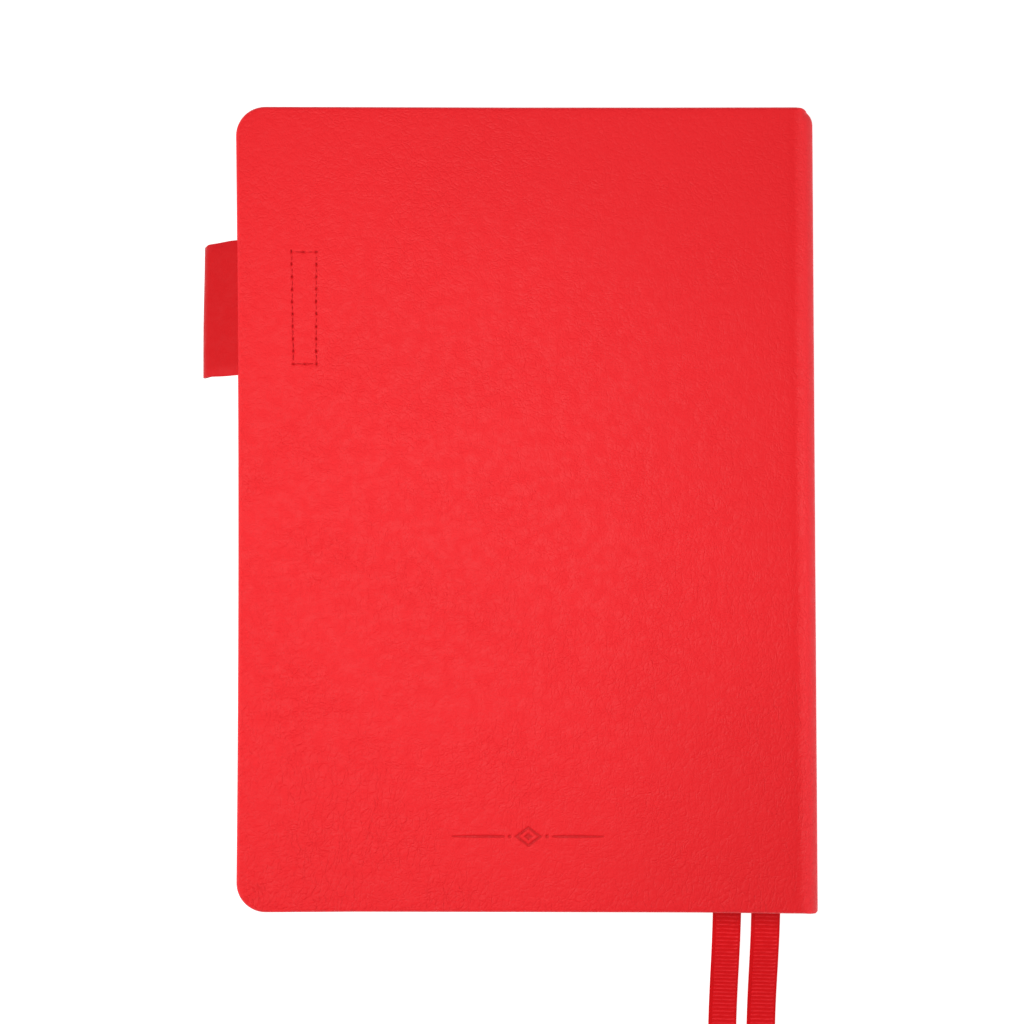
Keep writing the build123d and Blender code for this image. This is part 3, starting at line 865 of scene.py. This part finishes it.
def pen_loop():
    """The folded loop: a flat band carried along loop_line, skewed and flared as it hangs."""
    line, along = smooth_line(loop_line(), 0.3, 8)
    way = np.gradient(line, axis=0)
    way /= np.linalg.norm(way, axis=1)[:, None]
    out = np.column_stack([-way[:, 1], way[:, 0]])
    share = along / along[-1]
    shift = LOOP_RISE - LOOP_SKEW * np.sin(share * math.pi) ** 1.5
    shift += LOOP_TUCK * smooth_step(share, 0.44, 0.6) * (1 - 0.8 * smooth_step(share, 0.68, 0.84))
    half = (LOOP_HIGH[1] - LOOP_LOW[1]) / 2
    edge = 0.14
    wall = LOOP_WALL / 2
    section = [(-half + edge, wall), (half - edge, wall), (half, wall - edge), (half, -wall + edge),
               (half - edge, -wall), (-half + edge, -wall), (-half, -wall + edge), (-half, wall - edge)]
    inner_steps = 12
    profile = []
    for (y0, t0), (y1, t1) in zip(section, section[1:] + section[:1]):
        count = inner_steps if abs(y1 - y0) > 1 else 1
        profile += [(y0 + (y1 - y0) * k / count, t0 + (t1 - t0) * k / count) for k in range(count)]
    profile = np.array(profile)
    rows, columns = len(line), len(profile)
    x = line[:, None, 0] + out[:, None, 0] * profile[None, :, 1]
    z = line[:, None, 1] + out[:, None, 1] * profile[None, :, 1]
    y = LOOP_Y + profile[None, :, 0] + shift[:, None]
    beside = smooth_step(line[:, 0], LOOP_LOW[0] + 1.0, FORE_X - 1.5) * (share < 0.5)
    y = y + LOOP_FLARE * beside[:, None] * (profile[None, :, 0] / half)
    at_fold = 1 - smooth_step(line[:, 0], LOOP_LOW[0], FORE_X - 1.5)
    tailward = smooth_step(-profile[:, 0], -half, 0.45 * half)
    x = x + at_fold[:, None] * (LOOP_PUSH - LOOP_LEAN * tailward[None, :])
    outer = 1 - smooth_step(line[:, 0], LOOP_LOW[0], LOOP_LOW[0] + 1.5)
    headward = smooth_step(profile[:, 0], 0.7 * half, half)
    y = y - LOOP_EASE * outer[:, None] * headward[None, :]
    points = np.stack([x, y, z], -1).reshape(-1, 3)
    faces = []
    for row in range(rows - 1):
        for column in range(columns):
            after = (column + 1) % columns
            faces.append((row * columns + column, (row + 1) * columns + column,
                          (row + 1) * columns + after, row * columns + after))
    faces.append(tuple(range(columns)))
    faces.append(tuple((rows - 1) * columns + column for column in range(columns))[::-1])
    uvs = np.column_stack([np.repeat(along, columns), np.tile(profile[:, 0], rows) + 700])
    # Painted highlight along the band's two edges.
    painted_highlight = np.tile(np.exp(-((half - np.abs(profile[:, 0])) / 0.35) ** 2), rows) * 0.35
    marks = {"pressed": np.zeros(rows * columns), "painted_highlight": painted_highlight}
    loop = add_mesh("pen_loop_leather", points, faces, uvs, [loop_leather], sharp=50, marks=marks)
    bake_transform(loop)
    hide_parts("pen_loop", "pen_loop_tab")


pen_loop()

# ---- ribbons ----
RIB_PITCH = 1.13
RIBBON_WIDTHS = (7.6, 7.75)
RIBBON_THICK = 0.3
RIB_HEIGHT = 0.075
SELVAGE = 1.0
SLANT_CUT = 2.0                        # how far the tails' cut ends slant
SECOND_SHIFT = 0.13                    # the second ribbon lies this far nearer the spine
TAIL_LEANS = (math.radians(1.0), math.radians(0.84))
TAIL_ROUTE = (
    (0.0, 11.55), (8.0, 11.0), (17.0, 8.0), (26.0, 3.9), (35.0, 1.1),
    (46.0, 0.35), (60.0, 0.22), (74.0, 0.3), (83.0, 0.25),
)


def nurbs_points(route):
    """Points of the smooth line that has route as its control points."""
    curve = bpy.data.curves.new("route", "CURVE")
    curve.dimensions = "3D"
    spline = curve.splines.new("NURBS")
    spline.points.add(len(route) - 1)
    for point, place in zip(spline.points, route):
        point.co = (*place, 1.0)
    spline.order_u = 3
    spline.use_endpoint_u = True
    spline.resolution_u = 24
    holder = bpy.data.objects.new("route", curve)
    bpy.context.scene.collection.objects.link(holder)
    bpy.context.view_layer.update()
    depsgraph = bpy.context.evaluated_depsgraph_get()
    mesh = bpy.data.meshes.new_from_object(holder.evaluated_get(depsgraph))
    points = np.array([vertex.co for vertex in mesh.vertices], float)
    bpy.data.objects.remove(holder)
    bpy.data.meshes.remove(mesh)
    return points


def grosgrain_strip(name, line, width, cut=0.0):
    """A ribbed ribbon along line (millimetres). cut slants its far end."""
    step = RIB_PITCH / 6
    path, along = resample(line, step)
    way = np.gradient(path, axis=0)
    way /= np.linalg.norm(way, axis=1)[:, None]
    across = np.cross(way, [0, 0, 1.0])
    across /= np.linalg.norm(across, axis=1)[:, None]
    up = np.cross(across, way)
    half = width / 2
    right = [0.4, 0.64, 0.7, 0.76, 0.82, 0.9, 0.985, 1]
    spots = np.array([-spot for spot in right[::-1]] + [0] + right)
    side = spots * half
    inner = 1 - smooth_step(np.abs(side), half - SELVAGE - 0.25, half - SELVAGE + 0.1)
    wobble = 0.02 * np.sin(side * 1.2 + 0.6) + 0.03 * side / half
    phase = (along[:, None] + wobble[None, :]) / RIB_PITCH
    crest = np.abs(np.sin(phase * math.pi)) ** 0.7
    seam = 0.05 * np.exp(-((np.abs(side) - (half - SELVAGE)) / 0.16) ** 2)
    body = RIBBON_THICK / 2 - 0.06
    high = body + RIB_HEIGHT * crest * inner[None, :] - seam[None, :] + 0.02 * (1 - inner[None, :])
    high = high * np.where(np.abs(spots) > 0.999, 0.35, 1.0)[None, :]
    # Painted highlight on the crowns of the ribs and on the loops beside one selvage.
    rib_highlight = smooth_step(crest, 0.88, 1.0) * inner[None, :]
    loops = np.exp(-((side + half - SELVAGE + 0.1) / 0.3) ** 2)
    rib_highlight = np.maximum(rib_highlight, loops[None, :] * smooth_step(crest, 0.6, 1.0))
    last = cut * side / half
    rows, columns = len(path), len(side)
    share = (along / along[-1]) ** 12
    base = path[:, None, :] + across[:, None, :] * side[None, :, None]
    base = base + way[:, None, :] * (last[None, :, None] * share[:, None, None])
    top = base + up[:, None, :] * high[:, :, None]
    bottom = base - up[:, None, :] * high[:, :, None]
    points = np.concatenate([top.reshape(-1, 3), bottom.reshape(-1, 3)])
    under = rows * columns
    faces = grid_faces(rows, columns)
    faces += grid_faces(rows, columns, first=under, flip=True)
    for row in range(rows - 1):
        for column, flip in ((0, False), (columns - 1, True)):
            here, there = row * columns + column, (row + 1) * columns + column
            quad = (here, there, under + there, under + here)
            faces.append(quad[::-1] if flip else quad)
    for row, flip in ((0, True), (rows - 1, False)):
        for column in range(columns - 1):
            here = row * columns + column
            quad = (here, here + 1, under + here + 1, under + here)
            faces.append(quad[::-1] if flip else quad)
    uv = np.column_stack([np.tile(side, rows), np.repeat(along, columns)])
    marks = {"rib_highlight": np.concatenate([rib_highlight.ravel(), rib_highlight.ravel()])}
    return add_mesh(name, points, faces, np.concatenate([uv, uv]), [grosgrain], sharp=70, marks=marks)


def ribbons():
    """Each ribbon's free tail, and its flat stretch inside the block."""
    for number in (1, 2):
        exit_x, exit_y, _ = joint_mm(f"ribbon_{number}_lift")
        width, turn = RIBBON_WIDTHS[number - 1], TAIL_LEANS[number - 1]
        exit_x += SECOND_SHIFT * (number - 1)
        lean = (-math.sin(turn), -math.cos(turn))
        route = [((exit_x + along * lean[0]) * MM, (exit_y + along * lean[1]) * MM, height * MM)
                 for along, height in TAIL_ROUTE]
        line = nurbs_points(route) / MM
        cut = SLANT_CUT if number == 1 else -SLANT_CUT
        tail = grosgrain_strip(f"ribbon_{number}_tail_weave", line, width, cut)
        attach(tail, f"ribbon_{number}")
        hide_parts(f"ribbon_{number}_tail")
        low, high = box_mm(f"ribbon_{number}_inner")
        head_x = high[0] - width / 2
        middle_z = (low[2] + high[2]) / 2 + 0.06
        inner_line = np.array([(head_x, high[1], middle_z), (exit_x, low[1], middle_z)])
        inner = grosgrain_strip(f"ribbon_{number}_inner_weave", inner_line, width)
        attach(inner, "front_block")
        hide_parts(f"ribbon_{number}_inner")


ribbons()

# ---- leaves ----
SECTIONS = 22
LEAVES = 8
LEAF_GAP = 0.012
CORNER_STEPS = 6


def leaf_outline(spine_x, fore_x, half, corner, shift=(0.0, 0.0)):
    """A leaf's outline, anticlockwise from its tail corner at the spine."""
    points = [(spine_x, -half)]
    for centre_y, first in ((-half + corner, -math.pi / 2), (half - corner, math.pi)):
        steps = [first - math.pi / 2 * k / CORNER_STEPS for k in range(CORNER_STEPS + 1)]
        points += [(fore_x + corner + corner * math.cos(a), centre_y + corner * math.sin(a))
                   for a in steps]
    points.append((spine_x, half))
    return [(x + shift[0], y + shift[1]) for x, y in points]


def section_leaves(name, node, body, seed):
    """The eight leaves of a sewn section, folded round its half-round back."""
    chance = random.Random(seed)
    low, high = box_mm(node)
    pitch = (high[2] - low[2]) / LEAVES
    middle = (low[2] + high[2]) / 2
    fold = (high[2] - low[2]) / 2
    points, faces, uvs, kinds = [], [], [], []
    for leaf in range(LEAVES):
        bottom = low[2] + leaf * pitch + LEAF_GAP / 2
        top = bottom + pitch - LEAF_GAP
        away = abs((bottom + top) / 2 - middle)
        back_x = high[0] - (fold - math.sqrt(max(fold ** 2 - away ** 2, 0)))
        shift = (chance.gauss(0, 0.05), chance.gauss(0, 0.05))
        ring = leaf_outline(back_x - shift[0], low[0] + 0.12, high[1] - 0.1, PAGE_CORNER, shift)
        count = len(ring)
        first = len(points)
        points += [(x, y, bottom) for x, y in ring] + [(x, y, top) for x, y in ring]
        uvs += [(x, y) for x, y in ring] * 2
        faces.append(tuple(first + k for k in range(count)))
        kinds.append(0)
        faces.append(tuple(first + count + k for k in range(count))[::-1])
        kinds.append(0)
        for k in range(count):
            after = (k + 1) % count
            faces.append((first + k, first + count + k, first + count + after, first + after))
            kinds.append(1)
    leaves = add_mesh(name, points, faces, uvs, [page_paper, leaf_edges], kinds, sharp=30)
    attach(leaves, body)
    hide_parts(node)


def sections():
    for number in range(1, SECTIONS + 1):
        body = "front_block" if number <= SECTIONS // 2 else "back_block"
        section_leaves(f"section_{number:02d}_leaves", f"section_{number:02d}", body, number)


sections()


def sheet_along(name, line, half, corner, thick, materials, fore_ends=(True, False)):
    """A thin sheet that follows line (x, z) across the book, with rounded corners at its fore ends."""
    path, along = line, np.concatenate([[0], np.cumsum(np.linalg.norm(np.diff(line, axis=0), axis=1))])
    way = np.gradient(path, axis=0)
    way /= np.linalg.norm(way, axis=1)[:, None]
    out = np.column_stack([-way[:, 1], way[:, 0]])
    rises = grid_lines(-half, half, 4.0, [(-half, -half + corner, 1.0), (half - corner, half, 1.0)])
    columns, rows = len(rises), len(path)
    run, rise = np.meshgrid(along, rises, indexing="ij")
    total = along[-1]
    flat_run = run.copy()
    flat_rise = rise.copy()
    for at_end, place in ((fore_ends[0], 0.0), (fore_ends[1], total)):
        if not at_end:
            continue
        sign = -1.0 if place == 0.0 else 1.0
        shifted = sign * (flat_run - place) + 1000.0
        for tip in (half, -half):
            shifted, flat_rise = round_corner(shifted, flat_rise, 1000.0, tip, corner, corner)
        flat_run = sign * (shifted - 1000.0) + place
    x = np.interp(flat_run, along, path[:, 0])
    z = np.interp(flat_run, along, path[:, 1])
    nx = np.interp(flat_run, along, out[:, 0]) * thick / 2
    nz = np.interp(flat_run, along, out[:, 1]) * thick / 2
    top = np.stack([x + nx, flat_rise, z + nz], -1).reshape(-1, 3)
    bottom = np.stack([x - nx, flat_rise, z - nz], -1).reshape(-1, 3)
    under = rows * columns
    faces = grid_faces(rows, columns, flip=True) + grid_faces(rows, columns, first=under)
    rim = [column for column in range(columns)]
    rim += [row * columns + columns - 1 for row in range(1, rows)]
    rim += [(rows - 1) * columns + column for column in range(columns - 2, -1, -1)]
    rim += [row * columns for row in range(rows - 2, 0, -1)]
    for here, there in zip(rim, rim[1:] + rim[:1]):
        faces.append((here, there, under + there, under + here))
    uvs = np.column_stack([x.ravel(), flat_rise.ravel()])
    return add_mesh(name, np.concatenate([top, bottom]), faces, np.concatenate([uvs, uvs]), materials,
                    sharp=40)


def straight(x_from, x_to, z, step=4.0, fine=()):
    low, high = min(x_from, x_to), max(x_from, x_to)
    places = grid_lines(low, high, step, fine)
    if x_from > x_to:
        places = places[::-1]
    return np.column_stack([places, np.full(len(places), z)])


def loose_leaves():
    """The four leaves that stand free at the middle."""
    for number in range(1, 5):
        node = f"centre_leaf_{number}"
        low, high = box_mm(node)
        line = straight(low[0], high[0], (low[2] + high[2]) / 2, 5.0, [(high[0] - 22, high[0], 0.7)])
        leaf = sheet_along(f"loose_leaf_{number}", line, high[1], PAGE_CORNER, high[2] - low[2],
                           [page_paper])
        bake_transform(leaf)
        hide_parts(node)


def middle_sheet():
    """The sheet that lies open at the middle, folded into the gutter."""
    low_z, high_z = MIDDLE_LOW + 0.02, MIDDLE_HIGH - 0.02
    fore_x, fold_x = PAGE_LOW[0], PAGE_HIGH[0]
    radius = (high_z - low_z) / 2
    fine = [(fold_x - 6, fold_x, 0.5)]
    turn = [(fold_x - radius + radius * math.cos(a), MIDDLE + radius * math.sin(a))
            for a in np.linspace(-math.pi / 2, math.pi / 2, 13)]
    line = np.vstack([straight(fore_x, fold_x - radius, low_z, 6.0, fine)[:-1], turn,
                      straight(fold_x - radius, fore_x, high_z, 6.0, fine)[1:]])
    sheet = sheet_along("middle_sheet", line, PAGE_HIGH[1], PAGE_CORNER, 0.02, [page_paper],
                        fore_ends=(True, True))
    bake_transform(sheet)


def endpapers():
    """Pastedowns carried over the hinge to the block, and flyleaves."""
    for half in ("front", "back"):
        cover, block = half + "_cover", half + "_block"
        low, high = box_mm(half + "_pastedown")
        inside = low[2] if half == "back" else high[2]
        face = (low[2] + high[2]) / 2
        block_face = PAGES_TOP if half == "back" else PAGE_LOW[2]
        gap_z = (inside + block_face) / 2
        slope = np.linspace(0, 1, 9)
        start_x, end_x = high[0] - 1.0, HINGE_X + 0.6
        bend = np.column_stack([start_x + (end_x - start_x) * slope,
                                face + (gap_z - face) * slope ** 2 * (3 - 2 * slope)])
        line = np.vstack([straight(low[0], start_x, face, 5.0)[:-1], bend])
        sheet = sheet_along(half + "_pastedown_sheet", line, high[1], PASTEDOWN_CORNER,
                            high[2] - low[2], [plain_paper])
        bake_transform(sheet)
        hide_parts(half + "_pastedown")
        low, high = box_mm(half + "_flyleaf")
        line = straight(low[0], high[0], (low[2] + high[2]) / 2, 5.0, [(high[0] - 16, high[0], 0.8)])
        leaf = sheet_along(half + "_flyleaf_sheet", line, high[1], PAGE_CORNER, high[2] - low[2],
                           [plain_paper])
        if half == "back":
            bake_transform(leaf)
        else:
            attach(leaf, block)
        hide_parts(half + "_flyleaf")


loose_leaves()
middle_sheet()
endpapers()

# ---- head and tail bands ----


def band(node, body):
    """A wound band: turns of thread over a core, standing along the spine."""
    low, high = box_mm(node)
    centre = (low + high) / 2
    reach = (high - low) / 2
    turn = 0.42
    levels = np.arange(low[2], high[2] + 0.01, turn / 6)
    sides = 20
    angles = np.arange(sides) * TAU / sides
    points, uvs = [], []
    for level in levels:
        swell = 1 - 0.09 * (1 - abs(math.sin((level - low[2]) / turn * math.pi)) ** 0.6)
        for angle in angles:
            cos, sin = math.cos(angle), math.sin(angle)
            points.append((centre[0] + reach[0] * swell * math.copysign(abs(cos) ** 0.75, cos),
                           centre[1] + reach[1] * swell * math.copysign(abs(sin) ** 0.9, sin), level))
            uvs.append((angle, (level - low[2]) / turn / 2))
    faces = []
    for row in range(len(levels) - 1):
        for side in range(sides):
            after = (side + 1) % sides
            faces.append((row * sides + side, row * sides + after,
                          (row + 1) * sides + after, (row + 1) * sides + side))
    faces.append(tuple(range(sides))[::-1])
    faces.append(tuple((len(levels) - 1) * sides + side for side in range(sides)))
    made = add_mesh(node + "_weave", points, faces, uvs, [band_weave])
    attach(made, body)
    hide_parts(node)


for band_end in ("headband", "tailband"):
    for band_half in ("front", "back"):
        band(f"{band_end}_{band_half}", band_half + "_block")

# ---- spine liner ----


def spine_liner(half):
    """One half of the card behind the spine's leather; its head end stays below the rounded corner."""
    low, high = box_mm("spine_liner_" + half)
    heights = np.linspace(low[2], high[2], 9)
    line = np.column_stack([np.full(len(heights), (low[0] + high[0]) / 2), heights])
    made = sheet_along(f"spine_liner_{half}_card", line, PAGE_HIGH[1], 2.0, high[0] - low[0],
                       [kraft_card], fore_ends=(half == "front", half == "back"))
    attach(made, half + "_block")
    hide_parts("spine_liner_" + half)


for liner_half in ("front", "back"):
    spine_liner(liner_half)

# ---- inner CAD pieces keep their shape and get their material ----
INNER_LOOKS = {
    "cover_board": grey_board, "cover_infill": lining_card,
    "mull": gauze, "sewing_thread": linen_thread,
}
for node_name, node_object in frame["nodes"].items():
    for word, look in INNER_LOOKS.items():
        if word in node_name:
            node_object.data.materials.clear()
            node_object.data.materials.append(look)

# ---- floor and light ----


FLOOR_GREY = rgb(0.4, 0.4, 0.4)
FLOOR_GLOW = 0.88                      # brings the floor up to the paper white of a light table
FLOOR_REACH = 30.0                     # metres, past the horizon of every view
FLOOR_LEVEL = -0.0001
WORLD_STRENGTH = 0.38
LIGHTS = (                             # name, place and side in metres, power in watts
    ("key", (-0.52, -0.12, 0.55), 0.25, 2.4),
    ("overhead", (-0.02, 0.0, 0.325), 0.12, 0.50),
    ("fill", (0.85, -0.10, 0.30), 0.3, 1.7),
)
LIGHT_AIM = (0, 0, 0.01)


def add_floor():
    look = Look("floor", 0.9, 0.1)
    look.colour(FLOOR_GREY)
    look.shader.inputs["Emission Color"].default_value = rgb(1, 1, 1)
    look.shader.inputs["Emission Strength"].default_value = FLOOR_GLOW
    reach = FLOOR_REACH
    mesh = bpy.data.meshes.new("floor")
    corners = [(-reach, -reach, 0), (reach, -reach, 0), (reach, reach, 0), (-reach, reach, 0)]
    mesh.from_pydata(corners, [], [(0, 1, 2, 3)])
    mesh.materials.append(look.material)
    floor = bpy.data.objects.new("floor", mesh)
    floor.location = (0, 0, FLOOR_LEVEL)
    bpy.context.scene.collection.objects.link(floor)


def add_light(name, place, side, power):
    data = bpy.data.lights.new(name, "AREA")
    data.shape = "RECTANGLE"
    data.size, data.size_y = side, side
    data.energy = power
    light = bpy.data.objects.new(name, data)
    light.location = place
    way = np.array(LIGHT_AIM) - np.array(place)
    light.rotation_euler = Vector(way).to_track_quat("-Z", "Y").to_euler()
    light.visible_camera = False
    bpy.context.scene.collection.objects.link(light)


def add_lighting():
    world = bpy.data.worlds.new("studio")
    world.use_nodes = True
    background = world.node_tree.nodes["Background"]
    background.inputs["Color"].default_value = rgb(1, 1, 1)
    background.inputs["Strength"].default_value = WORLD_STRENGTH
    bpy.context.scene.world = world
    for light in LIGHTS:
        add_light(*light)
    bpy.context.scene.view_settings.view_transform = "Standard"


add_floor()
add_lighting()
